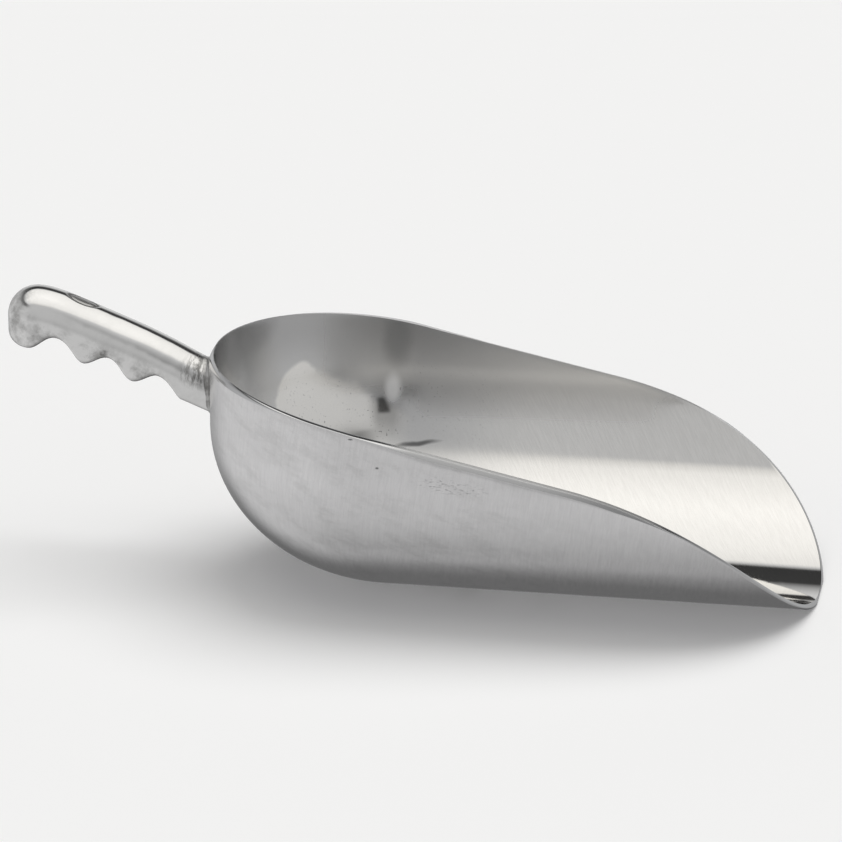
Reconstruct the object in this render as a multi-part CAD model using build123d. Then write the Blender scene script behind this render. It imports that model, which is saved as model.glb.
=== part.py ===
from build123d import *
import math
import os

# An ice scoop of cast aluminium: a trough with a rounded back, and a finger-grooved handle
# welded to that back. Millimetres, +X towards the pouring lip, +Z up, and the same on both
# sides of Y = 0. It is drawn with X = 0 where the round back meets the straight trough and
# Z = 0 at the belly's lowest line. The parts are then moved so that the origin is the bottom
# centre of the whole scoop's box, on the flat that it stands on.

# ---- Driving dimensions of the bowl -------------------------------------------------------
HALF_WIDTH = 75.0        # outside half-width of the trough, and the back's plan radius
BELLY_DEPTH = 64.0       # height of the elliptical belly, where the walls turn vertical
LIP_X = 173.0            # the pouring lip's most forward point
WALL_BACK = 2.6          # side wall's thickness at the back
FLOOR_BACK = 3.8         # floor's thickness at the back, before the flat is ground
WALL_LIP = 1.4           # wall and floor thin towards the lip
FLOOR_LIP = 2.1
DRAFT = 1.25             # the walls' inside leans out by this much from the belly up to the rim
FLAT_HALF_WIDTH = 13.0   # the belly is ground flat this far to each side, so that it stands
RIM_SLOPE = 12.0         # degrees: the rim falls this steeply towards the front
RIM_AT_ZERO = 81.0       # rim's height at X = 0
RIM_BACK_RADIUS = 700.0  # behind X = 0 the rim bends gently downwards
RIM_STRAIGHT_END = 80.0  # from here the rim sweeps down to the lip
RIM_SHOULDER = 50.0      # how long the sweep keeps the rim's own slope
LIP_ANGLE = 60.0         # degrees below horizontal at which the sweep meets the lip
LIP_RUN = 30.0           # how long the sweep keeps the lip's angle
OPEN_TOP = 110.0         # above any rim: the height that the trough is first made to
SPARE = 12.0             # how far a part to be trimmed, or its cutter, runs past the trimming

# ---- Driving dimensions of the handle -----------------------------------------------------
GRIP_RADIUS_FOOT = 10.2  # the crown is half round: its radius inside the bowl's wall
GRIP_RADIUS_TIP = 12.0   # and at the rounded end
CROWN = [(-60.0, 76.4), (-98.0, 95.4), (-112.7, 101.4), (-130.0, 108.0), (-147.2, 112.5)]
CROWN_SLOPE_FOOT = 27.0  # degrees: how steeply the crown line above rises at its two ends
CROWN_SLOPE_TIP = 3.0
FLANK = 40.0             # the flanks are first made this deep, then cut to the underside
UNDERSIDE_START = (-163.5, 100.3)  # the underside drops from here, beyond the tip's surface
# Underside, as (X, Z, degrees that it falls there): from the tip to the foot it runs over three
# ridges and three finger grooves, and each groove ends in a steep wall.
UNDERSIDE = [
    (-149.3, 89.1, 0.0),
    (-139.0, 93.9, 0.0),
    (-131.2, 88.2, 59.0),
    (-126.4, 83.6, 0.0),
    (-117.4, 86.6, 0.0),
    (-111.2, 81.7, 61.0),
    (-106.0, 77.1, 0.0),
    (-96.6, 80.1, 0.0),
    (-87.6, 70.9, 57.0),
]
HEEL = UNDERSIDE[-1]     # corner where the last groove's wall meets the foot
FOOT_SLOPE = 22.0        # degrees: the underside falls this steeply from the heel to the bowl
EDGE_ROUND = 2.4         # rounding between the flanks and the underside
HEEL_ROUND = 2.0

# ---- Weld bead -----------------------------------------------------------------------------
BEAD_RADIUS = 3.0        # radius of the bead's hollow face, in the corner of foot and bowl

NEAR = 0.5               # an edge this close to the place looked at is the one meant


def rim_height(x):
    """Height of the straight part of the rim."""
    return RIM_AT_ZERO - x * math.tan(math.radians(RIM_SLOPE))


def belly_height(y):
    """Height of the belly's outside at this distance from the middle."""
    return BELLY_DEPTH * (1 - math.sqrt(1 - (y / HALF_WIDTH) ** 2))


def open_half_width(half_width, draft):
    """Half-width at OPEN_TOP of a wall that leans out from the belly, and is right at the rim."""
    lean = draft / (RIM_AT_ZERO - BELLY_DEPTH)
    return half_width + lean * (OPEN_TOP - RIM_AT_ZERO)


def trough_section(x, wall, floor, draft):
    """A closed U section of the trough at X = x, made smaller by the wall and the floor."""
    half_width = HALF_WIDTH - wall - draft
    open_width = open_half_width(HALF_WIDTH - wall, draft)
    depth = BELLY_DEPTH - floor
    with BuildSketch(Plane.YZ.offset(x)) as section:
        with BuildLine():
            EllipticalCenterArc((0, BELLY_DEPTH), half_width, depth, start_angle=180, arc_size=180)
            Polyline(
                (half_width, BELLY_DEPTH),
                (open_width, OPEN_TOP),
                (-open_width, OPEN_TOP),
                (-half_width, BELLY_DEPTH),
            )
        make_face()
    return section.sketch


def round_back(wall, floor, draft):
    """The U section's half, turned about the Z axis from the +Y side to the -Y side."""
    half_width = HALF_WIDTH - wall - draft
    open_width = open_half_width(HALF_WIDTH - wall, draft)
    depth = BELLY_DEPTH - floor
    with BuildPart() as back:
        with BuildSketch(Plane.YZ):
            with BuildLine():
                EllipticalCenterArc((0, BELLY_DEPTH), half_width, depth, start_angle=270, arc_size=90)
                Polyline(
                    (half_width, BELLY_DEPTH),
                    (open_width, OPEN_TOP),
                    (0, OPEN_TOP),
                    (0, BELLY_DEPTH - depth),
                )
            make_face()
        revolve(axis=Axis.Z, revolution_arc=180)
    return back.part


def trough(wall_back, floor_back, wall_lip, floor_lip, draft):
    """The straight trough, a little longer than the lip, joined to the round back."""
    end = LIP_X + SPARE
    reach = end / LIP_X
    front = loft([
        trough_section(0, wall_back, floor_back, draft),
        trough_section(
            end,
            wall_back + (wall_lip - wall_back) * reach,
            floor_back + (floor_lip - floor_back) * reach,
            0,
        ),
    ])
    return front + round_back(wall_back, floor_back, draft)


def above_rim():
    """Everything that the rim's side outline cuts away."""
    slope = math.radians(RIM_SLOPE)
    lip = math.radians(LIP_ANGLE)
    back_x = -HALF_WIDTH - SPARE
    back_z = rim_height(back_x) - back_x ** 2 / (2 * RIM_BACK_RADIUS)
    middle_z = rim_height(back_x / 2) - (back_x / 2) ** 2 / (2 * RIM_BACK_RADIUS)
    start = (RIM_STRAIGHT_END, rim_height(RIM_STRAIGHT_END))
    front_x = LIP_X + 2 * SPARE
    with BuildPart() as cutter:
        with BuildSketch(Plane.XZ):
            with BuildLine():
                ThreePointArc((back_x, back_z), (back_x / 2, middle_z), (0, RIM_AT_ZERO))
                Line((0, RIM_AT_ZERO), start)
                Bezier(
                    start,
                    (start[0] + RIM_SHOULDER * math.cos(slope), start[1] - RIM_SHOULDER * math.sin(slope)),
                    (LIP_X - LIP_RUN * math.cos(lip), LIP_RUN * math.sin(lip)),
                    (LIP_X, 0),
                )
                below = (LIP_X + SPARE * math.cos(lip), -SPARE * math.sin(lip))
                Polyline(
                    (LIP_X, 0),
                    below,
                    (front_x, below[1]),
                    (front_x, OPEN_TOP + SPARE),
                    (back_x, OPEN_TOP + SPARE),
                    (back_x, back_z),
                )
            make_face()
        extrude(amount=HALF_WIDTH + SPARE, both=True)
    return cutter.part


def below_flat():
    """What is ground off the belly."""
    size = 2 * (LIP_X + HALF_WIDTH)
    top = Plane.XY.offset(belly_height(FLAT_HALF_WIDTH))
    return extrude(top * Rectangle(size, size), amount=-SPARE)


def make_bowl(outside):
    inside = trough(WALL_BACK, FLOOR_BACK, WALL_LIP, FLOOR_LIP, DRAFT)
    return outside - inside - above_rim() - below_flat()


def slope_vector(degrees):
    """Unit (X, Z) direction towards the handle's end, rising by this many degrees."""
    return (-math.cos(math.radians(degrees)), math.sin(math.radians(degrees)))


def grip_section(radius, point, direction):
    """Half-round crown over straight flanks, across the crown line at one of its points."""
    plane = Plane(origin=point, x_dir=(0, 1, 0), z_dir=direction)
    below = -1 if plane.y_dir.Z > 0 else 1
    with BuildSketch(plane) as section:
        with Locations((0, below * radius)):
            Circle(radius)
        with Locations((0, below * (radius + FLANK / 2))):
            Rectangle(2 * radius, FLANK)
    return section.sketch


def grip_blank():
    """The handle before its grooves are cut: a tapering sweep that ends in a dome."""
    tangents = [slope_vector(CROWN_SLOPE_FOOT), slope_vector(CROWN_SLOPE_TIP)]
    crown = Plane.XZ * Spline(*CROWN, tangents=tangents)
    sections = [
        grip_section(GRIP_RADIUS_FOOT, crown @ 0, crown % 0),
        grip_section(GRIP_RADIUS_TIP, crown @ 1, crown % 1),
    ]
    body = sweep(sections, path=crown, multisection=True)
    tip = crown % 1
    down = Vector(tip.Z, 0, -tip.X)
    if down.Z > 0:
        down = down * -1
    centre = crown @ 1 + down * GRIP_RADIUS_TIP
    dome = Pos(centre) * Sphere(GRIP_RADIUS_TIP)
    post = extrude(Plane(origin=centre, z_dir=down) * Circle(GRIP_RADIUS_TIP), amount=FLANK)
    return body + dome + post


def below_underside():
    """Everything under the handle's finger grooves."""
    heel = HEEL[:2]
    inside_x = CROWN[0][0] + SPARE
    inside_z = heel[1] - (inside_x - heel[0]) * math.tan(math.radians(FOOT_SLOPE))
    bottom = heel[1] - FLANK
    beyond_x = UNDERSIDE_START[0] - SPARE
    half_reach = GRIP_RADIUS_TIP + SPARE
    places = [(x, z) for x, z, fall in UNDERSIDE]
    tangents = [(0, -1)] + [(math.cos(math.radians(fall)), -math.sin(math.radians(fall)))
                            for x, z, fall in UNDERSIDE]
    with BuildPart() as cutter:
        with BuildSketch(Plane.XZ.offset(-half_reach)):
            with BuildLine():
                Spline(UNDERSIDE_START, *places, tangents=tangents)
                Polyline(
                    heel,
                    (inside_x, inside_z),
                    (inside_x, bottom),
                    (beyond_x, bottom),
                    (beyond_x, UNDERSIDE_START[1]),
                    UNDERSIDE_START,
                )
            make_face()
        extrude(amount=2 * half_reach)
    return cutter.part


def is_underside(face):
    """Is this one of the grooves', heel's or foot's faces, which all run straight across?"""
    normal = face.normal_at(face.center())
    return abs(normal.Y) < 0.001 and normal.Z < -0.2


def whole_handle():
    """The handle, still running on through the bowl's wall."""
    handle = grip_blank() - below_underside()
    corner = Vector(HEEL[0], 0, HEEL[1])
    heel = [edge for edge in handle.edges() if (edge.center() - corner).length < NEAR]
    handle = fillet(heel, HEEL_ROUND)
    sharp = []
    for face in handle.faces().filter_by(is_underside):
        for edge in face.edges():
            runs_along = abs(edge.center().Y) > GRIP_RADIUS_FOOT / 2
            outside_bowl = edge.center().X < CROWN[0][0]
            if runs_along and outside_bowl:
                sharp.append(edge)
    return fillet(sharp, EDGE_ROUND)


def make_handle(outside):
    return (whole_handle() - outside).solids().sort_by(Axis.X)[0]


def make_weld_bead(outside):
    """A ring of filler metal that rounds off the corner between the handle and the bowl."""
    foot = whole_handle()
    joined = outside + foot
    corner = []
    for edge in joined.edges():
        place = edge.center()
        on_wall = abs(math.hypot(place.X, place.Y) - HALF_WIDTH) < NEAR
        beside_foot = abs(place.Y) < GRIP_RADIUS_TIP and place.Z < OPEN_TOP - SPARE
        above_belly = place.Z > BELLY_DEPTH / 2
        if place.X < 0 and on_wall and beside_foot and above_belly:
            corner.append(edge)
    return fillet(corner, BEAD_RADIUS) - outside - foot


def main():
    os.makedirs("parts", exist_ok=True)
    outside = trough(0, 0, 0, 0, 0)
    pieces = {
        "bowl": make_bowl(outside),
        "handle": make_handle(outside),
        "weld_bead": make_weld_bead(outside),
    }
    ends = [piece.bounding_box() for piece in pieces.values()]
    middle = (min(end.min.X for end in ends) + max(end.max.X for end in ends)) / 2
    bottom = min(end.min.Z for end in ends)
    for name, piece in pieces.items():
        placed = Pos(-middle, 0, -bottom) * piece
        placed.label = name
        export_step(placed, f"parts/{name}.step")
        print(name, round(placed.volume), placed.bounding_box(), placed.center())
    print("moved by", -middle, -bottom)


main()
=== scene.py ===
import math

import bmesh
import bpy
import numpy as np
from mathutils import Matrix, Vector, noise


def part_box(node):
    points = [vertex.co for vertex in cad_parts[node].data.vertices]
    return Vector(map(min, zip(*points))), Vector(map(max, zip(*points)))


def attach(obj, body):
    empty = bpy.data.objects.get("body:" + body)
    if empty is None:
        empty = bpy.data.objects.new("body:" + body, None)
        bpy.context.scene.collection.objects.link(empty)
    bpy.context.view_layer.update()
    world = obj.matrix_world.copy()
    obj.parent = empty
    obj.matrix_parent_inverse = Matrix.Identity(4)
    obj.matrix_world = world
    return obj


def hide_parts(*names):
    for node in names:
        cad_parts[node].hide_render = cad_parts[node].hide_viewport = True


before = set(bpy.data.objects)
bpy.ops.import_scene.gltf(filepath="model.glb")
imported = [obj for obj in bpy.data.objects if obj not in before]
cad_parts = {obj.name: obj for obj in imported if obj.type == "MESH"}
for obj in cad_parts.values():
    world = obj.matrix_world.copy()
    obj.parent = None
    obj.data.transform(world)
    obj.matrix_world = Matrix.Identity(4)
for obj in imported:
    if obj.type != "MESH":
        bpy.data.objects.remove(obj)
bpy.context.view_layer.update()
BOWL_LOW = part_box("bowl")[0]
MM = 0.001
QUARTER = math.pi / 2

# ---- The bowl's driving dimensions, in millimetres, as the CAD has them --------------------
# Drawing frame: X = 0 where the round back meets the straight trough, Z = 0 at the belly's
# lowest line before the flat is ground.
HALF_WIDTH = 75.0
BELLY_DEPTH = 64.0
LIP_X = 173.0
WALL_BACK, WALL_LIP = 2.6, 1.4
FLOOR_BACK, FLOOR_LIP = 3.8, 2.1
DRAFT = 1.25  # the walls' inside leans out by this much from the belly up to the rim
DRAFT_END_X = LIP_X + 12.0  # where the draft would run out
FLAT_HALF_WIDTH = 13.0
RIM_SLOPE = math.radians(12)
RIM_AT_ZERO = 81.0
RIM_BACK_RADIUS = 700.0
RIM_STRAIGHT_END = 80.0
RIM_SHOULDER = 50.0
LIP_ANGLE = math.radians(60)
LIP_RUN = 30.0

# ---- The handle's ---------------------------------------------------------------------------
GRIP_RADIUS_FOOT, GRIP_RADIUS_TIP = 10.2, 12.0
DOME_X, DOME_Z = -147.78, 100.5  # the middle of the tip's dome
CROWN = [(-147.2, 112.5), (-130.0, 108.0), (-112.7, 101.4), (-98.0, 95.4), (-60.0, 76.4)]
CROWN_END_SLOPES = -math.tan(math.radians(3)), -math.tan(math.radians(27))
UNDERSIDE_START = (-163.5, 100.3)
# The grooves' bottoms, ridges and flanks, as (X, Z, degrees downhill).
UNDERSIDE = [
    (-149.3, 89.1, 0), (-139.0, 93.9, 0), (-131.2, 88.2, 59), (-126.4, 83.6, 0), (-117.4, 86.6, 0),
    (-111.2, 81.7, 61), (-106.0, 77.1, 0), (-96.6, 80.1, 0), (-87.6, 70.9, 57),
]
FOOT_SLOPE = math.radians(22)
EDGE_ROUND = 2.4
OVAL_X, OVAL_HALF_LENGTH, OVAL_HALF_WIDTH = -128.6, 5.8, 3.1

# From the drawing frame to the row frame, both in millimetres.
FLAT_Z = BELLY_DEPTH * (1 - math.sqrt(1 - (FLAT_HALF_WIDTH / HALF_WIDTH) ** 2))
SHIFT = np.array([BOWL_LOW.x / MM + HALF_WIDTH, 0.0, -FLAT_Z])

# The camera's bearing off the scoop's side, its height over the horizon, its distance in metres
# from a target in drawing millimetres, and its focal length in millimetres.
CAMERA_BEARING = math.radians(10.31)
CAMERA_HEIGHT = math.radians(18.45)
CAMERA_DISTANCE = 1.8
CAMERA_TARGET = np.array([9.816, 0.0, 64.23])
SENSOR_WIDTH = 36.0
FOCAL_LENGTH = 191.7594


def to_row(points):
    """Drawing millimetres to row-frame metres."""
    return (np.asarray(points, float) + SHIFT) * MM


# ---- Node helpers ---------------------------------------------------------------------------
class Nodes:
    """Short calls that add nodes to one tree. Values may be numbers or other nodes' outputs."""

    def __init__(self, tree):
        self.tree = tree
        tree.nodes.clear()

    def put(self, socket, value):
        if isinstance(value, bpy.types.NodeSocket):
            self.tree.links.new(value, socket)
        else:
            socket.default_value = value

    def add(self, kind, **settings):
        node = self.tree.nodes.new(kind)
        for name, value in settings.items():
            setattr(node, name, value)
        return node

    def fill(self, node, values):
        """Sets a node's first inputs, in order."""
        for socket, value in zip(node.inputs, values):
            self.put(socket, value)
        return node.outputs

    def math(self, operation, *values):
        return self.fill(self.add("ShaderNodeMath", operation=operation), values)[0]

    def mul(self, first, *others):
        for other in others:
            first = self.math("MULTIPLY", first, other)
        return first

    def sum(self, first, *others):
        for other in others:
            first = self.math("ADD", first, other)
        return first

    def less(self, value, taken):
        return self.math("SUBTRACT", value, taken)

    def most(self, first, *others):
        for other in others:
            first = self.math("MAXIMUM", first, other)
        return first

    def step(self, value, low, high, to_low=0.0, to_high=1.0):
        """A smooth step: to_low below low, to_high above high."""
        node = self.add("ShaderNodeMapRange", interpolation_type="SMOOTHSTEP")
        return self.fill(node, (value, low, high, to_low, to_high))[0]

    def fall(self, value, low, high):
        """1 below low, falling smoothly to 0 at high."""
        return self.step(value, low, high, 1.0, 0.0)

    def bump_at(self, value, middle, reach, soft):
        """1 within reach of middle, falling to 0 over soft."""
        away = self.math("ABSOLUTE", self.less(value, middle))
        return self.fall(away, reach, reach + soft)

    def mix(self, factor, a, b):
        """A colour between a and b."""
        node = self.add("ShaderNodeMix", data_type="RGBA")
        self.put(node.inputs[0], factor)
        self.put(node.inputs[6], a)
        self.put(node.inputs[7], b)
        return node.outputs[2]

    def blend(self, factor, a, b):
        """A number between a and b."""
        node = self.add("ShaderNodeMix", data_type="FLOAT")
        self.put(node.inputs[0], factor)
        self.put(node.inputs[2], a)
        self.put(node.inputs[3], b)
        return node.outputs[0]

    def ramp(self, value, stops):
        node = self.add("ShaderNodeValToRGB")
        self.put(node.inputs[0], value)
        elements = node.color_ramp.elements
        while len(elements) < len(stops):
            elements.new(0.5)
        for element, (position, colour) in zip(elements, stops):
            element.position = position
            element.color = colour
        return node.outputs[0]

    def split(self, vector):
        return self.fill(self.add("ShaderNodeSeparateXYZ"), (vector,))

    def join(self, x, y, z):
        return self.fill(self.add("ShaderNodeCombineXYZ"), (x, y, z))[0]

    def noise(self, vector, scale, detail=2.0, roughness=0.5):
        node = self.add("ShaderNodeTexNoise")
        self.put(node.inputs["Vector"], vector)
        node.inputs["Scale"].default_value = scale
        node.inputs["Detail"].default_value = detail
        node.inputs["Roughness"].default_value = roughness
        return node.outputs["Fac"]

    def stretched(self, x, y, z, detail, roughness):
        """Noise of features 1 across in the given coordinates."""
        return self.noise(self.join(x, y, z), 1.0, detail, roughness)

    def bump(self, height, strength, distance):
        node = self.add("ShaderNodeBump")
        self.put(node.inputs["Height"], height)
        self.put(node.inputs["Strength"], strength)
        node.inputs["Distance"].default_value = distance
        return node.outputs[0]

    def spot(self, x, z, place):
        """1 at one place of a side view, falling to 0 around it. The place is (X, Z, reach along X,
        reach up)."""
        at_x, at_z, reach_x, reach_z = place
        across = self.math("DIVIDE", self.less(x, at_x), reach_x)
        up = self.math("DIVIDE", self.less(z, at_z), reach_z)
        away = self.math("SQRT", self.sum(self.mul(across, across), self.mul(up, up)))
        return self.fall(away, 0.25, 1.0)


def grey(value, warmth=0.0):
    """A linear grey, a little warmer or cooler."""
    return (value * (1 + warmth), value, value * (1 - 2 * warmth), 1.0)


# ---- Camera, studio and floor ---------------------------------------------------------------
def make_camera():
    toward = Vector((
        math.sin(CAMERA_BEARING) * math.cos(CAMERA_HEIGHT),
        -math.cos(CAMERA_BEARING) * math.cos(CAMERA_HEIGHT),
        math.sin(CAMERA_HEIGHT),
    ))
    data = bpy.data.cameras.new("camera")
    data.sensor_width = SENSOR_WIDTH
    data.lens = FOCAL_LENGTH
    data.clip_start = 0.1
    data.clip_end = 60.0
    camera = bpy.data.objects.new("camera", data)
    camera.location = Vector(to_row(CAMERA_TARGET)) + toward * CAMERA_DISTANCE
    camera.rotation_euler = (-toward).to_track_quat("-Z", "Y").to_euler()
    bpy.context.scene.collection.objects.link(camera)
    bpy.context.scene.camera = camera


# Brightness of the studio by height above the horizon in degrees, towards four sides. What the
# camera sees behind the scoop is one plain grey instead.
STUDIO = {
    "behind": [
        (-90, 0.33), (-62, 0.15), (-30, 0.14), (-14, 0.45), (0, 0.66), (14, 0.62), (19, 0.52),
        (24.5, 0.34), (28, 0.16), (29.8, 0.045), (44.4, 0.04), (47, 0.6), (49, 0.88), (60, 0.97),
        (90, 1.08),
    ],
    "side": [
        (-90, 0.36), (-70, 0.42), (-50, 0.56), (-25, 0.66), (0, 0.60), (28, 0.58), (36, 0.46),
        (39, 0.12), (46, 0.12), (49, 0.70), (60, 0.98), (90, 1.08),
    ],
    "camera": [
        (-90, 0.33), (-70, 0.45), (-50, 0.55), (-25, 0.58), (-12, 0.56), (0, 0.46), (15, 0.50),
        (52, 0.52), (56, 0.74), (61, 0.90), (75, 1.0), (90, 1.08),
    ],
    "crew": [
        (-90, 0.33), (-50, 0.45), (-15, 0.45), (0, 0.30), (30, 0.31), (42, 0.42), (54, 0.60),
        (60, 0.92), (90, 1.08),
    ],
}
BACKDROP = grey(0.9)
LIT_WARMTH, SHADE_WARMTH = 0.012, -0.004
LIT_FROM = 0.7  # brighter than this counts as lit

# How far the sides reach, in degrees of bearing off the direction behind the scoop.
BEHIND_ENDS = 25.0
CAMERA_SIDE = (125.0, 165.0)

# Things in the studio, as (bearing, half its width, soft edge) and the same for the height.
RIG_ACROSS, RIG_UP = (18.0, 5.0, 16.0), (22.0, 6.0, 9.0)
CREW_ACROSS = (162.0, 5.0, 9.0)
LENS_ACROSS, LENS_UP = (160.5, 2.8, 2.5), (17.6, 5.2, 3.0)


def make_studio():
    world = bpy.data.worlds.new("studio")
    world.use_nodes = True
    bpy.context.scene.world = world
    n = Nodes(world.node_tree)
    x, y, z = n.split(n.add("ShaderNodeTexCoord").outputs["Generated"])
    height = n.mul(n.math("ARCSINE", z), 180 / math.pi)
    bearing = n.mul(n.math("ARCTAN2", x, y), 180 / math.pi)
    share = n.math("DIVIDE", n.sum(height, 90.0), 180.0)

    def sky(side):
        stops = []
        for degrees, value in STUDIO[side]:
            warmth = LIT_WARMTH if value > LIT_FROM else SHADE_WARMTH
            stops.append(((degrees + 90) / 180, grey(value, warmth)))
        return n.ramp(share, stops)

    off_behind = n.math("ABSOLUTE", bearing)
    spread = n.step(height, -10.0, 10.0, 68.0, 80.0)
    colour = n.mix(n.step(off_behind, BEHIND_ENDS, spread), sky("behind"), sky("side"))
    colour = n.mix(n.step(off_behind, *CAMERA_SIDE), colour, sky("camera"))
    rig = n.mul(n.bump_at(bearing, *RIG_ACROSS), n.bump_at(height, *RIG_UP))
    colour = n.mix(n.mul(rig, 0.5), colour, grey(0.08))
    colour = n.mix(n.bump_at(bearing, *CREW_ACROSS), colour, sky("crew"))
    lens = n.mul(n.bump_at(bearing, *LENS_ACROSS), n.bump_at(height, *LENS_UP))
    colour = n.mix(n.mul(lens, 0.9), colour, grey(0.03))

    mirrored = n.add("ShaderNodeBackground")
    n.put(mirrored.inputs[0], colour)
    seen = n.add("ShaderNodeBackground")
    seen.inputs[0].default_value = BACKDROP
    is_seen = n.add("ShaderNodeLightPath").outputs["Is Camera Ray"]
    choice = n.add("ShaderNodeMixShader")
    result = n.fill(choice, (is_seen, mirrored.outputs[0], seen.outputs[0]))[0]
    n.put(n.add("ShaderNodeOutputWorld").inputs[0], result)


def make_floor():
    """A plain pale sweep. The metal mirrors the studio instead of it."""
    mesh = bpy.data.meshes.new("floor")
    reach = 30.0
    corners = [(-reach, -reach, 0), (reach, -reach, 0), (reach, reach, 0), (-reach, reach, 0)]
    mesh.from_pydata(corners, [], [(0, 1, 2, 3)])
    floor = bpy.data.objects.new("floor", mesh)
    bpy.context.scene.collection.objects.link(floor)
    material = bpy.data.materials.new("pale_floor")
    material.use_nodes = True
    shader = material.node_tree.nodes["Principled BSDF"]
    shader.inputs["Base Color"].default_value = grey(0.93)
    shader.inputs["Roughness"].default_value = 0.9
    shader.inputs["Specular IOR Level"].default_value = 0.0
    mesh.materials.append(material)
    floor.visible_glossy = False


def make_light():
    """A wide soft light for the floor, which the metal doesn't mirror."""
    data = bpy.data.lights.new("top_light", "SUN")
    data.energy = 1.13
    data.angle = math.radians(50)
    light = bpy.data.objects.new("top_light", data)
    light.rotation_euler = (math.radians(-18), math.radians(12), 0)
    light.visible_glossy = False
    bpy.context.scene.collection.objects.link(light)


# ---- The bowl -------------------------------------------------------------------------------
WALL_SCALE = BELLY_DEPTH * QUARTER  # up the vertical wall, this many mm count as 1
EASE = 40.0  # the walls' taper reaches its full slope this far in front of the round back
SPACING = 1.7  # between stations along the rim
SKIN_ROWS, FLAT_ROWS = 56, 5  # from the belly's middle line to the rim, and over half the flat
PULL_START, PULL = 118.0, 24.0  # towards the lip the rows' low ends move back by this much
EASED_ROWS = 12  # rows that draw back to make room for the ground rim
OUTER_EDGE_ROWS, LAND_ROWS, INNER_EDGE_ROWS = 5, 3, 4

# The rim's finish, as (X, millimetres) along the rim: how far the outer edge is ground back down
# the outside and over the land, and how far the land tilts outwards. Crisp is the ground
# edge's roundness, from 0 for a flat bevel to 1 for a full one.
EDGE_DOWN = [
    (-75, 2.9), (-58, 2.4), (-42, 1.3), (-25, 0.6), (-8, 0.45), (10, 1.2), (24, 2.2), (60, 2.2),
    (100, 2.0), (114, 1.1), (126, 0.5), (150, 0.6), (173, 0.8),
]
EDGE_OVER = [
    (-75, 1.9), (-58, 1.6), (-42, 0.9), (-25, 0.5), (-8, 0.4), (10, 0.8), (24, 1.3), (60, 1.2),
    (100, 1.0), (114, 0.6), (126, 0.35), (150, 0.5), (173, 0.9),
]
EDGE_CRISP = [
    (-75, 0.25), (-42, 0.3), (-8, 0.8), (10, 0.2), (24, 0.05), (100, 0.05), (126, 0.8), (150, 0.4),
    (173, 0.3),
]
LAND_TILT = [
    (-75, 0.0), (-60, 0.05), (-45, 0.16), (0, 0.17), (14, 0.3), (24, 0.45), (95, 0.4), (114, 0.3),
    (134, 0.17), (146, 0.05), (173, 0.0),
]
EDGE_INSIDE = 0.22

# Swells left by hand finishing, as (bumps' size, seed, height), in millimetres.
BOWL_SWELLS = [(26.0, 3.0, 0.10), (11.0, 8.0, 0.025)]
HANDLE_SWELLS = [(14.0, 5.0, 0.10), (5.0, 9.0, 0.035)]
HIGHEST_SWELL = 0.04


def unit(a):
    return a / np.linalg.norm(a, axis=-1, keepdims=True)


def swells(points, table):
    """Smooth seeded noise at each point, in millimetres."""
    height = np.zeros(len(points))
    for size, seed, reach in table:
        shift = Vector((seed, seed * 2, -seed))
        height += reach * np.array([noise.noise(Vector(p) / size + shift) for p in points])
    return height


def by_x(where, table):
    """One value per station, from a table of (X, value)."""
    places, values = zip(*table)
    return np.interp(where, places, values)[:, None]


def bezier(a, b, c, count):
    """Points from a to c, bending at b, without the two ends."""
    t = (np.arange(1, count + 1) / (count + 1))[:, None, None]
    return (1 - t) ** 2 * a + 2 * t * (1 - t) * b + t ** 2 * c


def taper(x):
    """0 at the round back, 1 at the lip, starting gently so that no crease shows."""
    def run(at):
        return np.where(at < EASE, at ** 2 / (2 * EASE), at - EASE / 2)
    return run(np.clip(x, 0, None)) / run(np.array(LIP_X))


def thickness(x):
    """Wall and floor thickness at X, which both shrink from the round back to the lip."""
    part = taper(x)
    return WALL_BACK + (WALL_LIP - WALL_BACK) * part, FLOOR_BACK + (FLOOR_LIP - FLOOR_BACK) * part


def section(v, half_width, depth):
    """(distance from the middle, Z) on a section: v is 0 at the bottom, 1 where the wall stands."""
    angle = np.minimum(v, 1) * QUARTER
    rise = np.maximum(v - 1, 0) * WALL_SCALE
    return half_width * np.sin(angle), BELLY_DEPTH - depth * np.cos(angle) + rise


def height_to_v(z, depth):
    belly = np.arccos(np.clip((BELLY_DEPTH - z) / depth, -1, 1)) / QUARTER
    return np.where(z < BELLY_DEPTH, belly, 1 + (z - BELLY_DEPTH) / WALL_SCALE)


def rim_outline():
    """The rim's side outline from X = 0 to the lip, as closely spaced (X, Z)."""
    start = np.array([RIM_STRAIGHT_END, RIM_AT_ZERO - RIM_STRAIGHT_END * math.tan(RIM_SLOPE)])
    end = np.array([LIP_X, 0.0])
    first = start + RIM_SHOULDER * np.array([math.cos(RIM_SLOPE), -math.sin(RIM_SLOPE)])
    last = end - LIP_RUN * np.array([math.cos(LIP_ANGLE), -math.sin(LIP_ANGLE)])
    t = np.linspace(0, 1, 400)[:, None]
    sweep = (1 - t) ** 3 * start + 3 * t * (1 - t) ** 2 * first
    sweep = sweep + 3 * t ** 2 * (1 - t) * last + t ** 3 * end
    return np.vstack([[(0.0, RIM_AT_ZERO)], sweep])


OUTLINE = rim_outline()


def rim_x(z):
    """X on the rim's side outline at this height."""
    return np.interp(-z, -OUTLINE[:, 1], OUTLINE[:, 0])


def back_rim_z(x):
    return RIM_AT_ZERO - x * math.tan(RIM_SLOPE) - x ** 2 / (2 * RIM_BACK_RADIUS)


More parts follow.
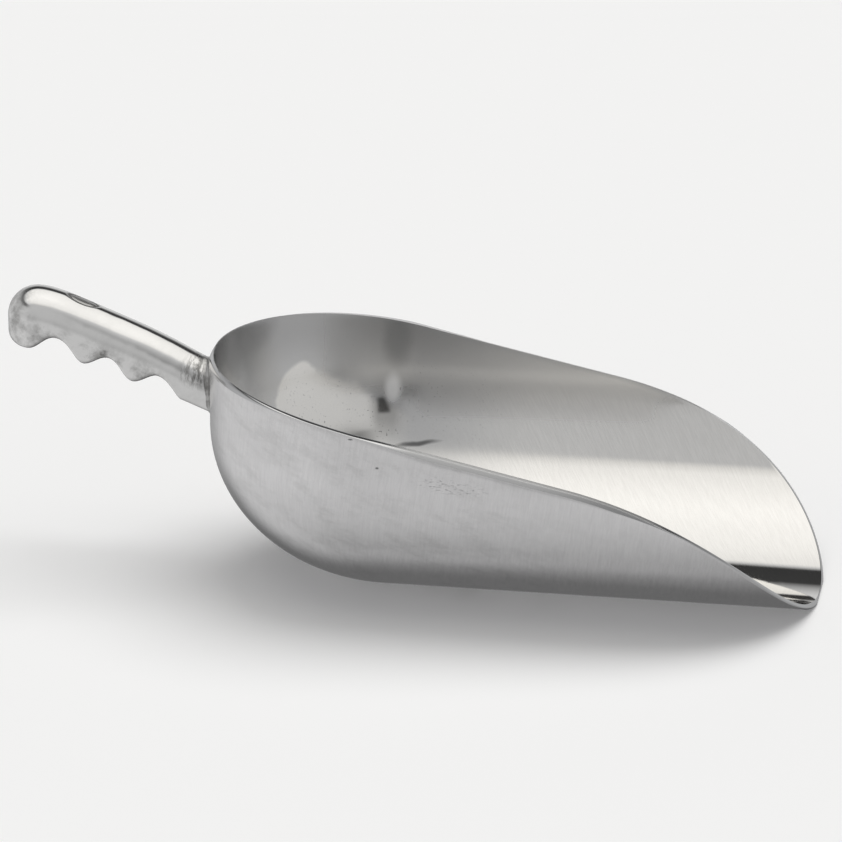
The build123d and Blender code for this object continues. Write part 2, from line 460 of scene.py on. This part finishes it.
def surface(turn, x, v, inner):
    """Surface points. turn runs from 0 at the back's middle to 1 at X = 0, where x takes over."""
    wall, floor = thickness(x)
    wall, floor = wall * inner, floor * inner
    draft = DRAFT * inner * (1 - taper(x) * LIP_X / DRAFT_END_X)
    out, z = section(v, HALF_WIDTH - wall - draft, BELLY_DEPTH - floor)
    out = out + draft * np.maximum(z - BELLY_DEPTH, 0) / (RIM_AT_ZERO - BELLY_DEPTH)
    bearing = turn * QUARTER
    if not inner:
        z = np.maximum(z, FLAT_Z)
    return np.stack([x - out * np.cos(bearing), out * np.sin(bearing), z], -1)


def rim_stations():
    """Evenly spaced stations along half the outer rim: turn, X and v at each."""
    turn = np.linspace(0, 1, int(HALF_WIDTH * QUARTER / SPACING))
    x_back = np.zeros_like(turn)
    v_back = height_to_v(back_rim_z(-HALF_WIDTH * np.cos(turn * QUARTER)), BELLY_DEPTH)
    straight = np.linspace(0, RIM_STRAIGHT_END, int(RIM_STRAIGHT_END / SPACING))[1:]
    v_straight = height_to_v(RIM_AT_ZERO - straight * math.tan(RIM_SLOPE), BELLY_DEPTH)
    v_fine = np.linspace(1, 0, 2000)
    y_fine, z_fine = section(v_fine, HALF_WIDTH, BELLY_DEPTH)
    z_fine = np.maximum(z_fine, FLAT_Z)
    x_fine = rim_x(z_fine)
    steps = np.hypot(np.hypot(np.diff(x_fine), np.diff(y_fine)), np.diff(z_fine))
    run = np.concatenate([[0], np.cumsum(steps)])
    even = np.linspace(0, run[-1], int(run[-1] / (SPACING * 0.8)))[1:]
    v_sweep = np.interp(even, run, v_fine)
    x_sweep = np.interp(even, run, x_fine)
    ones = np.ones(len(straight) + len(v_sweep))
    return (
        np.concatenate([turn, ones]),
        np.concatenate([x_back, straight, x_sweep]),
        np.concatenate([v_back, v_straight, v_sweep]),
    )


def inner_stations(turn, x, v):
    """X and v where the same stations meet the rim on the inside."""
    back = turn < 1
    back_z = back_rim_z(-(HALF_WIDTH - WALL_BACK) * np.cos(turn * QUARTER))
    x_in = x.copy()
    v_in = v.copy()
    v_in[back] = height_to_v(back_z[back], BELLY_DEPTH - FLOOR_BACK)
    for closer in range(6):
        wall, floor = thickness(x_in)
        z = section(v_in, HALF_WIDTH - wall, BELLY_DEPTH - floor)[1]
        x_in = np.where(back, 0.0, rim_x(z))
    return x_in, v_in


def skin(turn, x, v, inner):
    """Rows of points from the belly's middle line up to the given edge."""
    flat_v = math.asin(FLAT_HALF_WIDTH / HALF_WIDTH) / QUARTER
    low_v = flat_v * np.minimum(v / 0.3, 1)
    along = np.arange(SKIN_ROWS + 1)[:, None]
    low = low_v * along / FLAT_ROWS
    high = low_v + (v - low_v) * (along - FLAT_ROWS) / (SKIN_ROWS - FLAT_ROWS)
    row_v = np.where(along < FLAT_ROWS, low, high)
    at_tip = v < 1e-9
    part = np.where(at_tip, along / SKIN_ROWS, row_v / np.maximum(v, 1e-9))
    pull = PULL * np.clip((x - PULL_START) / (LIP_X - PULL_START), 0, 1) ** 1.5
    row_x = x - pull * (1 - part)
    return surface(np.broadcast_to(turn, row_v.shape), row_x, row_v, inner)


def away_from_rim(rows, along):
    """Unit directions down the surface, square to the rim."""
    way = rows[-3] - rows[-1]
    way = way - (way * along).sum(-1, keepdims=True) * along
    return unit(way)


def drawn_back(rows, edge):
    """The rows, drawn back a little at their upper end so that they stop at the edge."""
    count = len(rows)
    part = np.clip((np.arange(count) - (count - EASED_ROWS)) / (EASED_ROWS - 1), 0, 1) ** 2
    return rows + (edge - rows[-1]) * part[:, None, None]


def bowl_columns():
    """Half of the bowl's whole skin, from the belly outside, over the rim, to the floor inside."""
    turn, x, v = rim_stations()
    x_in, v_in = inner_stations(turn, x, v)
    outer = surface(turn, x, v, False)
    inner = surface(turn, x_in, v_in, True)
    along = unit(np.gradient(outer, axis=0))
    across = unit(inner - outer)
    where = outer[:, 0]
    out_rows = skin(turn, x, v, False)
    in_rows = skin(turn, x_in, v_in, True)
    down_out = away_from_rim(out_rows, along)
    down_in = away_from_rim(in_rows, along)

    edge_out = outer + down_out * by_x(where, EDGE_DOWN)
    land_out = outer + across * by_x(where, EDGE_OVER) + down_out * by_x(where, LAND_TILT)
    edge_in = inner + down_in * EDGE_INSIDE
    land_in = inner - across * EDGE_INSIDE
    corner = (edge_out + land_out) / 2
    corner = corner + (outer - corner) * by_x(where, EDGE_CRISP)
    rim = [
        *bezier(edge_out, corner, land_out, OUTER_EDGE_ROWS), land_out,
        *bezier(land_out, (land_out + land_in) / 2, land_in, LAND_ROWS), land_in,
        *bezier(land_in, inner, edge_in, INNER_EDGE_ROWS),
    ]
    out_rows = drawn_back(out_rows, edge_out)
    in_rows = drawn_back(in_rows, edge_in)
    return np.concatenate([out_rows, np.array(rim), in_rows[::-1]]), len(out_rows), len(rim), turn


def both_halves(half, mirror):
    """Adds the mirror image, as one closed loop of stations."""
    return np.concatenate([half, half[:, 1:-1][:, ::-1] * np.array(mirror)], axis=1)


def brush_places(columns, out_count, rim_count, turn):
    """For each point: millimetres up from the belly's middle line, millimetres along the bowl from
    X = 0, and the side, which is 0 outside, 0.5 on the rim and 1 inside."""
    steps = np.linalg.norm(np.diff(columns, axis=0), axis=-1)
    run = np.vstack([np.zeros(steps.shape[1]), np.cumsum(steps, axis=0)])
    inside = np.arange(len(columns)) >= out_count + rim_count
    up = np.where(inside[:, None], run[-1] - run, run)
    back = -HALF_WIDTH * QUARTER * (1 - turn)
    along = np.where(turn < 1, back, columns[:, :, 0])
    side = np.where(inside, 1.0, 0.5)
    side[:out_count] = 0.0
    side = np.broadcast_to(side[:, None], up.shape)
    return both_halves(np.stack([up, along, side], -1), (1, 1, 1)).reshape(-1, 3)


def grid_faces(rows, stations):
    """Quads between rows of stations, each row a closed loop."""
    faces = []
    for row in range(rows - 1):
        this, above = row * stations, (row + 1) * stations
        for j in range(stations):
            k = (j + 1) % stations
            faces.append((this + j, this + k, above + k, above + j))
    return faces


def build_mesh(name, points, faces, material, brush=None):
    """A clean mesh object from drawing millimetres. brush is where each point lies in the finish."""
    mesh = bpy.data.meshes.new(name)
    mesh.from_pydata([tuple(p) for p in to_row(points)], [], faces)
    if brush is not None:
        layer = mesh.attributes.new("brush", "FLOAT_VECTOR", "POINT")
        layer.data.foreach_set("vector", np.asarray(brush, float).ravel())
    merge = 0.02 * MM
    work = bmesh.new()
    work.from_mesh(mesh)
    bmesh.ops.remove_doubles(work, verts=work.verts, dist=merge)
    bmesh.ops.dissolve_degenerate(work, edges=work.edges, dist=merge / 2)
    bmesh.ops.recalc_face_normals(work, faces=work.faces)
    work.to_mesh(mesh)
    work.free()
    mesh.polygons.foreach_set("use_smooth", [True] * len(mesh.polygons))
    mesh.materials.append(material)
    obj = bpy.data.objects.new(name, mesh)
    bpy.context.scene.collection.objects.link(obj)
    return obj


def make_bowl(material):
    columns, out_count, rim_count, turn = bowl_columns()
    whole = both_halves(columns, (1, -1, 1))
    rows, stations = whole.shape[:2]
    flat = whole.reshape(-1, 3)

    # Hand finishing leaves the inside of the round back a little uneven.
    inside = flat[(out_count + rim_count + 2) * stations:]
    fade = np.clip((40 - inside[:, 0]) / 60, 0, 1)
    toward = unit(inside - np.array([20.0, 0.0, 60.0]))
    inside += toward * (swells(inside, BOWL_SWELLS) * fade)[:, None]

    brush = brush_places(columns, out_count, rim_count, turn)
    obj = build_mesh("bowl_shell", flat, grid_faces(rows, stations), material, brush)
    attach(obj, "root")
    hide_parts("bowl")


# ---- The handle -----------------------------------------------------------------------------
HANDLE_STEP = 0.5
DOME_STATIONS = 30
ARC_POINTS, FLANK_POINTS, ROUND_POINTS = 40, 9, 8
FOOT_SINK = 0.4  # the foot's end reaches this far into the bowl's wall, which hides it
OVAL_LINE_DEPTH, OVAL_LINE_WIDTH, OVAL_FLOOR_DEPTH = 0.35, 0.13, 0.12


def smooth_line(points, first_slope, last_slope, xs):
    """A cubic spline through (X, Z) points with given end slopes."""
    x, z = np.array(points, float).T
    gap = np.diff(x)
    rise = np.diff(z) / gap
    count = len(x)
    matrix = np.zeros((count, count))
    right = np.zeros(count)
    matrix[0, 0] = matrix[-1, -1] = 1
    right[0], right[-1] = first_slope, last_slope
    for i in range(1, count - 1):
        matrix[i, i - 1] = gap[i]
        matrix[i, i] = 2 * (gap[i - 1] + gap[i])
        matrix[i, i + 1] = gap[i - 1]
        right[i] = 3 * (gap[i] * rise[i - 1] + gap[i - 1] * rise[i])
    return hermite(x, z, np.linalg.solve(matrix, right), xs)


def hermite(x, z, slope, xs):
    """Cubic pieces through (X, Z) points with a slope at each."""
    i = np.clip(np.searchsorted(x, xs) - 1, 0, len(x) - 2)
    h = x[i + 1] - x[i]
    t = np.clip((xs - x[i]) / h, 0, 1)
    return (
        (2 * t ** 3 - 3 * t ** 2 + 1) * z[i] + (t ** 3 - 2 * t ** 2 + t) * h * slope[i]
        + (3 * t ** 2 - 2 * t ** 3) * z[i + 1] + (t ** 3 - t ** 2) * h * slope[i + 1]
    )


def crown_z(xs):
    return smooth_line(CROWN, *CROWN_END_SLOPES, xs)


def underside_z(xs):
    """The grooved underside, from the tip's quarter oval to the sloping foot."""
    x, z, fall = np.array(UNDERSIDE, float).T
    grooves = hermite(x, z, -np.tan(np.radians(fall)), xs)
    foot = z[-1] - (xs - x[-1]) * math.tan(FOOT_SLOPE)
    part = np.clip((x[0] - xs) / (x[0] - UNDERSIDE_START[0]), 0, 1)
    tip = z[0] + (UNDERSIDE_START[1] - z[0]) * (1 - np.sqrt(1 - part ** 2))
    return np.where(xs < x[0], tip, np.where(xs > x[-1], foot, grooves))


def handle_ring(x):
    """One section at X: half-round crown, straight flanks and a level underside."""
    bottom = underside_z(x + np.array([-0.8, -0.4, 0.0, 0.4, 0.8])).mean()
    if x < DOME_X:
        half = math.sqrt(max(GRIP_RADIUS_TIP ** 2 - (x - DOME_X) ** 2, 0.0))
        middle, rise = DOME_Z, half
    else:
        part = (x - DOME_X) / (CROWN[-1][0] - DOME_X)
        half = GRIP_RADIUS_TIP + (GRIP_RADIUS_FOOT - GRIP_RADIUS_TIP) * part
        behind, top, ahead = crown_z(np.array([x - 0.5, x, x + 0.5]))
        rise = half * math.sqrt(1 + (ahead - behind) ** 2)
        middle = top - rise
    corner = min(EDGE_ROUND, 0.6 * half, 0.8 * (middle - bottom))
    arc = np.linspace(0, QUARTER, ARC_POINTS)
    even = np.linspace(0, 1, FLANK_POINTS)[1:]
    turn = np.linspace(0, QUARTER, ROUND_POINTS)[1:]
    crown = np.column_stack([half * np.sin(arc), middle + rise * np.cos(arc)])
    flank = np.column_stack([np.full(len(even), half), middle + (bottom + corner - middle) * even])
    edge = np.column_stack([half - corner * (1 - np.cos(turn)), bottom + corner * (1 - np.sin(turn))])
    level = np.column_stack([(half - corner) * (1 - even), np.full(len(even), bottom)])
    side = np.vstack([crown, flank, edge, level])
    return np.concatenate([side, (side[1:-1] * np.array([-1, 1]))[::-1]])


def make_handle(material):
    tip = DOME_X - GRIP_RADIUS_TIP * np.sin(np.linspace(QUARTER, 0, DOME_STATIONS))
    body = np.arange(DOME_X + HANDLE_STEP, -HALF_WIDTH + 1.5, HANDLE_STEP)
    stations = np.concatenate([tip, body])
    rings = []
    for x in stations:
        ring = handle_ring(x)
        rings.append(np.column_stack([np.full(len(ring), x), ring]))
    points = np.array(rings)
    count = points.shape[1]
    flat = points.reshape(-1, 3)

    # Uneven casting, smoothed by hand: long low swells, and a blank oval let into the crown.
    middle = np.zeros_like(flat)
    middle[:, 0] = flat[:, 0]
    middle[:, 2] = np.interp(flat[:, 0], stations, points[:, 0, 2]) - GRIP_RADIUS_TIP
    outward = unit(flat - middle)
    away = np.hypot((flat[:, 0] - OVAL_X) / OVAL_HALF_LENGTH, flat[:, 1] / OVAL_HALF_WIDTH)
    line = OVAL_LINE_DEPTH * np.exp(-((away - 1) / OVAL_LINE_WIDTH) ** 2)
    floor = OVAL_FLOOR_DEPTH * np.clip((1 - away) / 0.1, 0, 1)
    on_top = flat[:, 2] > middle[:, 2] + GRIP_RADIUS_TIP / 2
    swell = np.minimum(swells(flat, HANDLE_SWELLS), HIGHEST_SWELL)
    flat += outward * (swell - (line + floor) * on_top)[:, None]

    wall = -np.sqrt(HALF_WIDTH ** 2 - flat[:, 1] ** 2) + FOOT_SINK
    flat[:, 0] = np.minimum(flat[:, 0], wall)
    faces = grid_faces(len(stations), count)
    centre = len(flat)
    last = centre - count
    flat = np.vstack([flat, flat[last:].mean(0)])
    faces += [(last + j, last + (j + 1) % count, centre) for j in range(count)]
    obj = build_mesh("handle_casting", flat, faces, material)
    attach(obj, "root")
    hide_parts("handle")


# ---- Materials ------------------------------------------------------------------------------
# Places on the walls' side view, as (X, Z, reach along X, reach up) in drawing millimetres.
PIT = (6.2, 69.4, 1.0, 0.65)
NICK = (-4.3, 80.4, 1.4, 0.5)
SCUFF = (34.8, 63.4, 19.0, 4.2)
# The top of the painted reflection patch.
PATCH_TOP = (-50.0, 54.0, 11.5, 20.0)
# Two places of painted shade on the far wall.
SHADE_PLACES = [(-64.0, 88.0, 7.5, 11.0), (-13.0, 76.0, 8.0, 17.0)]
# A painted highlight.
HIGHLIGHT_SPOT = (-14.5, 54.5, 5.0, 9.0)
STREAK = (-3.0, 34.0, 12.5, 1.3)
NOSE_SMUDGES = [(-126.5, 87.0, 6.0, 4.5), (-118.0, 89.0, 3.5, 2.5), (-113.0, 84.5, 5.5, 3.0)]
FOOT_GRIME = (-77.5, 82.5, 13.0, 9.0)

# Where the bowl's finish changes, in millimetres: (from, to) along the bowl.
ROUND_BACK_TO_FRONT = (-10.0, 50.0)
FRONT_TO_LIP = (40.0, 105.0)
BRUSH_SLANT = -0.16
SANDING = (0.88, 0.48)  # the sanded lines' direction inside, up and backwards
GROUND_RIM = ((4.0, 22.0), (108.0, 124.0))  # the matt ground stretch starts and ends over these
WORN_RIM = ((-70.0, -30.0), (120.0, 160.0))  # the rim is duller behind and in front of these
RAGGED_X, RAGGED_Z = 4.0, 5.0  # how far the painted reflection patch's edge wanders

OUTSIDE = ((0.80, 0.788, 0.788, 1), (0.885, 0.874, 0.870, 1))
ROUND_BACK = (grey(0.58, 0.004), grey(0.72, 0.004))
# Painted shade: the round back's inside darker towards the top, standing in for a dark reflection.
ROUND_BACK_TOP_SHADE = grey(0.42, 0.004)
# Painted reflection: the brighter patch on the far wall.
PAINTED_REFLECTION = grey(0.86, 0.018)
# Painted shade.
PAINTED_SHADE = grey(0.36)
SANDED = (grey(0.83, 0.014), grey(0.90, 0.014))
# Painted shade: the front's inside darker towards the top, standing in for a dark reflection.
SANDED_TOP_SHADE = grey(0.66, 0.004)
# Painted highlight.
PAINTED_HIGHLIGHT = grey(1.0)
SMEAR = grey(0.52, 0.01)
RIM = (grey(0.80), grey(0.46))
DARK_STREAK, SPECK_DIRT, GRIP_DIRT, OVAL_DIRT = grey(0.10), grey(0.24), grey(0.22, 0.02), grey(0.2, 0.02)
CASTING = (grey(0.86, 0.008), grey(0.91, 0.008))
WELD = (grey(0.20, 0.02), grey(0.62, 0.01))
SATIN = 0.36


def metal(name):
    material = bpy.data.materials.new(name)
    material.use_nodes = True
    n = Nodes(material.node_tree)
    shader = n.add("ShaderNodeBsdfPrincipled")
    shader.inputs["Metallic"].default_value = 1.0
    n.put(n.add("ShaderNodeOutputMaterial").inputs[0], shader.outputs[0])
    return material, n, shader


class Whereabouts:
    """Where the shaded point lies: in the row frame in metres, and in the drawing in mm."""

    def __init__(self, n):
        self.place = n.add("ShaderNodeTexCoord").outputs["Object"]
        self.row_x, self.row_y, self.row_z = n.split(self.place)
        self.x = n.sum(n.mul(self.row_x, 1 / MM), -SHIFT[0])
        self.z = n.sum(n.mul(self.row_z, 1 / MM), -SHIFT[2])


class BowlFinish:
    """The masks and textures that the bowl's colour, roughness and relief share."""

    def __init__(self, n):
        self.n = n
        self.at = Whereabouts(n)
        brush = n.add("ShaderNodeAttribute", attribute_name="brush").outputs["Vector"]
        self.up, self.along, side = n.split(brush)
        self.inside = n.step(side, 0.6, 0.9)
        self.rim = n.bump_at(side, 0.5, 0.1, 0.3)
        self.far = n.mul(self.inside, n.math("GREATER_THAN", self.at.row_y, 0.0))
        self.front = n.step(self.along, *ROUND_BACK_TO_FRONT)
        self.back = n.less(1.0, self.front)
        self.lip = n.step(self.along, *FRONT_TO_LIP)
        self.upper = n.mul(self.inside, n.step(self.at.z, 52.0, 60.0))
        starts, ends = GROUND_RIM
        self.ground = n.mul(n.step(self.along, *starts), n.fall(self.along, *ends))
        self.clouds = n.noise(self.at.place, 34.0, 4.0, 0.6)
        self.brush()
        self.far_wall_paint()

    def brush(self):
        """Brushed almost straight up and down outside, sanded obliquely inside."""
        n, up, along, row_y = self.n, self.up, self.along, self.at.row_y
        slanted = n.sum(along, n.mul(up, BRUSH_SLANT))
        self.fine = n.stretched(n.mul(up, 0.16), n.mul(slanted, 1.7), n.mul(row_y, 9.0), 3.0, 0.65)
        self.broad = n.stretched(n.mul(up, 0.1), n.mul(slanted, 0.6), n.mul(row_y, 6.0), 4.0, 0.65)
        major, minor = SANDING
        across_lines = n.sum(n.mul(along, major), n.mul(up, minor))
        along_lines = n.less(n.mul(up, major), n.mul(along, minor))
        lines = n.stretched(
            n.mul(across_lines, 1.9), n.mul(along_lines, 0.13), n.mul(row_y, 5.0), 4.0, 0.7)
        self.sanded = n.step(lines, 0.32, 0.68)

    def far_wall_paint(self):
        """Painted light on the far wall inside the round back: a painted reflection, one brighter patch
        with a ragged edge; painted shade in two places over it; a small painted highlight; and a dark
        streak low down."""
        n, at = self.n, self.at
        wobble = n.less(n.noise(at.place, 90.0, 3.0), 0.5)
        x, z = n.sum(at.x, n.mul(wobble, RAGGED_X)), n.sum(at.z, n.mul(wobble, RAGGED_Z))
        over_slope = n.less(z, n.sum(n.mul(x, -0.6), 38.5))
        ends = n.mul(n.step(x, -50.0, -46.0), n.fall(x, -20.0, -4.0))
        under = n.mul(n.fall(over_slope, -2.5, 2.5), ends)
        top = n.step(n.spot(x, z, PATCH_TOP), 0.15, 0.35)
        self.patch = n.mul(n.most(under, top), self.far)
        self.shade_mask = n.most(*[n.spot(x, z, place) for place in SHADE_PLACES])
        self.highlight_mask = n.mul(self.far, n.spot(at.x, at.z, HIGHLIGHT_SPOT))
        level = n.sum(at.z, n.mul(at.x, -0.10), n.mul(wobble, 2.0))
        self.streak = n.mul(self.far, n.spot(at.x, level, STREAK))

    def marks(self):
        """A scuff, a pit and a nick on the near wall."""
        n, at = self.n, self.at
        wall = n.math("LESS_THAN", at.row_y, -0.9 * HALF_WIDTH * MM)
        level = n.sum(at.z, n.mul(n.sum(at.x, -SCUFF[0]), 0.1))
        grit = n.stretched(n.mul(at.row_x, 500.0), 0.0, n.mul(at.row_z, 1500.0), 3.0, 0.6)
        scuff = n.mul(n.spot(at.x, level, SCUFF), n.step(grit, 0.53, 0.64), 0.6)
        dents = n.most(n.spot(at.x, at.z, PIT), n.spot(at.x, at.z, NICK))
        return n.mul(n.most(scuff, dents), wall, n.less(1.0, self.inside))

    def dirt(self):
        """Specks in patches inside the round back, fewer near the rim."""
        n, at = self.n, self.at
        specks = n.step(n.noise(at.place, 1100.0, 1.0), 0.685, 0.72)
        patches = n.step(n.noise(at.place, 60.0, 2.0), 0.42, 0.58)
        fewer = n.step(at.z, 58.0, 66.0, 0.55, 0.12)
        return n.mul(specks, patches, self.inside, self.back, fewer)

    def outside_colour(self):
        n, at = self.n, self.at
        streaky = n.step(n.blend(0.55, self.broad, self.fine), 0.3, 0.7)
        swirl_x = n.mul(n.sum(at.x, n.mul(at.z, 0.9)), 0.045)
        swirl = n.stretched(swirl_x, at.row_y, n.mul(at.z, 0.075), 6.0, 0.7)
        smears = n.mul(n.step(swirl, 0.44, 0.72), n.step(self.along, 30.0, 90.0, 0.42, 0.12))
        return n.mix(smears, n.mix(streaky, *OUTSIDE), SMEAR)

    def inside_colour(self):
        n, at = self.n, self.at
        back = n.mix(self.clouds, *ROUND_BACK)
        # Painted shade: darker towards the top of the round back, standing in for a dark reflection.
        back = n.mix(n.step(at.z, 60.0, 84.0, 0.0, 0.75), back, ROUND_BACK_TOP_SHADE)
        # Painted reflection: a brighter patch on the far wall.
        back = n.mix(self.patch, back, PAINTED_REFLECTION)
        # Painted shade in two places over the reflection patch.
        back = n.mix(n.mul(self.shade_mask, 0.75), back, PAINTED_SHADE)
        # Painted shade: darker towards the top at the front.
        front = n.mix(n.mul(self.upper, 0.8), n.mix(self.sanded, *SANDED), SANDED_TOP_SHADE)
        colour = n.mix(self.front, back, front)
        # Painted highlight: a small white spot on the far wall.
        colour = n.mix(self.highlight_mask, colour, PAINTED_HIGHLIGHT)
        # A dark streak low down on the far wall.
        return n.mix(n.mul(self.streak, 0.85), colour, DARK_STREAK)

    def rim_colour(self):
        n = self.n
        behind, ahead = WORN_RIM
        worn = n.most(n.step(self.along, *ahead), n.step(self.along, *behind, 0.7, 0.0))
        matt = n.mul(self.ground, n.step(self.along, 60.0, 105.0, 0.5, 1.0))
        return n.mix(n.most(worn, matt), *RIM)

    def colour(self):
        n = self.n
        walls = n.mix(self.inside, self.outside_colour(), self.inside_colour())
        clean = n.mix(self.rim, walls, self.rim_colour())
        return n.mix(n.most(self.dirt(), self.marks()), clean, SPECK_DIRT)

    def inside_roughness(self):
        n, x, z = self.n, self.at.x, self.at.z
        back = n.blend(self.patch, n.blend(self.clouds, 0.14, 0.26), 0.2)
        rough = n.blend(self.front, back, 0.13)
        rough = n.blend(self.lip, rough, n.blend(self.sanded, 0.035, 0.06))
        bright_end = n.mul(n.step(x, -32.0, -24.0), n.fall(x, -15.0, -11.0))
        lower = n.mul(self.far, n.fall(z, 50.0, 56.0), bright_end, self.back)
        rough = n.blend(lower, rough, 0.085)
        rough = n.blend(n.mul(self.upper, n.step(self.along, -60.0, -30.0)), rough, SATIN)
        rough = n.blend(self.highlight_mask, rough, 0.45)
        middle = n.mul(n.step(z, 39.0, 49.0), n.step(x, -9.0, 2.0), n.fall(x, 85.0, 115.0))
        return n.blend(middle, rough, SATIN)

    def roughness(self):
        n = self.n
        walls = n.blend(self.inside, n.blend(self.broad, 0.17, 0.23), self.inside_roughness())
        return n.blend(self.rim, walls, n.blend(self.ground, 0.12, 0.5))

    def relief(self):
        n = self.n
        blots = n.noise(self.at.place, 75.0, 3.0, 0.55)
        reach = n.blend(self.front, 0.9, n.blend(self.lip, 0.2, 0.07))
        inside = n.mul(n.blend(self.front, blots, self.sanded), reach)
        return n.blend(self.rim, n.blend(self.inside, n.mul(self.fine, 0.8), inside), 0.0)


def bowl_metal():
    material, n, shader = metal("bowl_aluminium")
    finish = BowlFinish(n)
    n.put(shader.inputs["Base Color"], finish.colour())
    n.put(shader.inputs["Roughness"], finish.roughness())
    n.put(shader.inputs["Normal"], n.bump(finish.relief(), 1.0, 0.02 * MM))
    return material


def oval_dirt(n, at):
    """Dirt in the blank oval's sunk outline, and less of it inside."""
    across = n.math("DIVIDE", n.less(at.x, OVAL_X), OVAL_HALF_LENGTH)
    up = n.mul(at.row_y, 1 / MM / OVAL_HALF_WIDTH)
    away = n.math("SQRT", n.sum(n.mul(across, across), n.mul(up, up)))
    line = n.bump_at(away, 1.0, 0.05, 0.12)
    inside = n.step(away, 0.85, 1.0, 0.65, 0.0)
    return n.mul(n.most(line, inside), n.step(at.z, 96.0, 100.0))


def grip_grime(n, at, scratches):
    """Grime on the tip, beside the grooves and on the middle of the foot."""
    smudge = n.step(n.noise(at.place, 120.0, 5.0, 0.65), 0.36, 0.68)
    over_noses = n.less(at.z, n.sum(n.mul(at.x, -0.36), 45.5))
    noses = n.mul(n.fall(over_noses, -2.0, 9.0), n.step(at.x, -98.0, -90.0, 1.0, 0.2))
    smudges = [n.mul(n.spot(at.x, at.z, place), 1.6) for place in NOSE_SMUDGES]
    film = n.most(n.fall(at.x, -154.0, -142.0), noses, 0.13, *smudges)
    foot = n.mul(n.step(scratches, 0.38, 0.62), n.spot(at.x, at.z, FOOT_GRIME), 0.9)
    return n.most(n.mul(smudge, film, 0.62), foot)


def handle_metal():
    material, n, shader = metal("handle_aluminium")
    at = Whereabouts(n)
    clouds = n.noise(at.place, 60.0, 3.0)
    scratches = n.stretched(
        n.mul(at.row_x, 700.0), n.mul(at.row_y, 300.0), n.mul(at.row_z, 220.0), 4.0, 0.7)
    grime = grip_grime(n, at, scratches)
    oval = oval_dirt(n, at)
    colour = n.mix(grime, n.mix(clouds, *CASTING), GRIP_DIRT)
    n.put(shader.inputs["Base Color"], n.mix(n.mul(oval, 0.8), colour, OVAL_DIRT))
    rough = n.blend(n.most(grime, oval), n.blend(clouds, 0.06, 0.11), 0.4)
    n.put(shader.inputs["Roughness"], rough)
    worn = n.mul(n.step(at.x, -92.0, -80.0), n.step(scratches, 0.42, 0.6), 0.035)
    pores = n.mul(n.noise(at.place, 420.0, 2.0), 0.05)
    height = n.sum(n.mul(clouds, 0.6), worn, pores)
    n.put(shader.inputs["Normal"], n.bump(height, 1.0, 0.1 * MM))
    return material


def weld_metal():
    material, n, shader = metal("weld_aluminium")
    clouds = n.noise(n.add("ShaderNodeTexCoord").outputs["Object"], 220.0, 3.0)
    n.put(shader.inputs["Base Color"], n.mix(n.step(clouds, 0.35, 0.65), *WELD))
    n.put(shader.inputs["Roughness"], n.blend(clouds, 0.2, 0.4))
    n.put(shader.inputs["Normal"], n.bump(clouds, 0.5, 0.4 * MM))
    return material


make_camera()
make_studio()
make_floor()
make_light()
bpy.context.scene.view_settings.view_transform = "Standard"
make_bowl(bowl_metal())
make_handle(handle_metal())
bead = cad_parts["weld_bead"]
bead.data.materials.clear()
bead.data.materials.append(weld_metal())
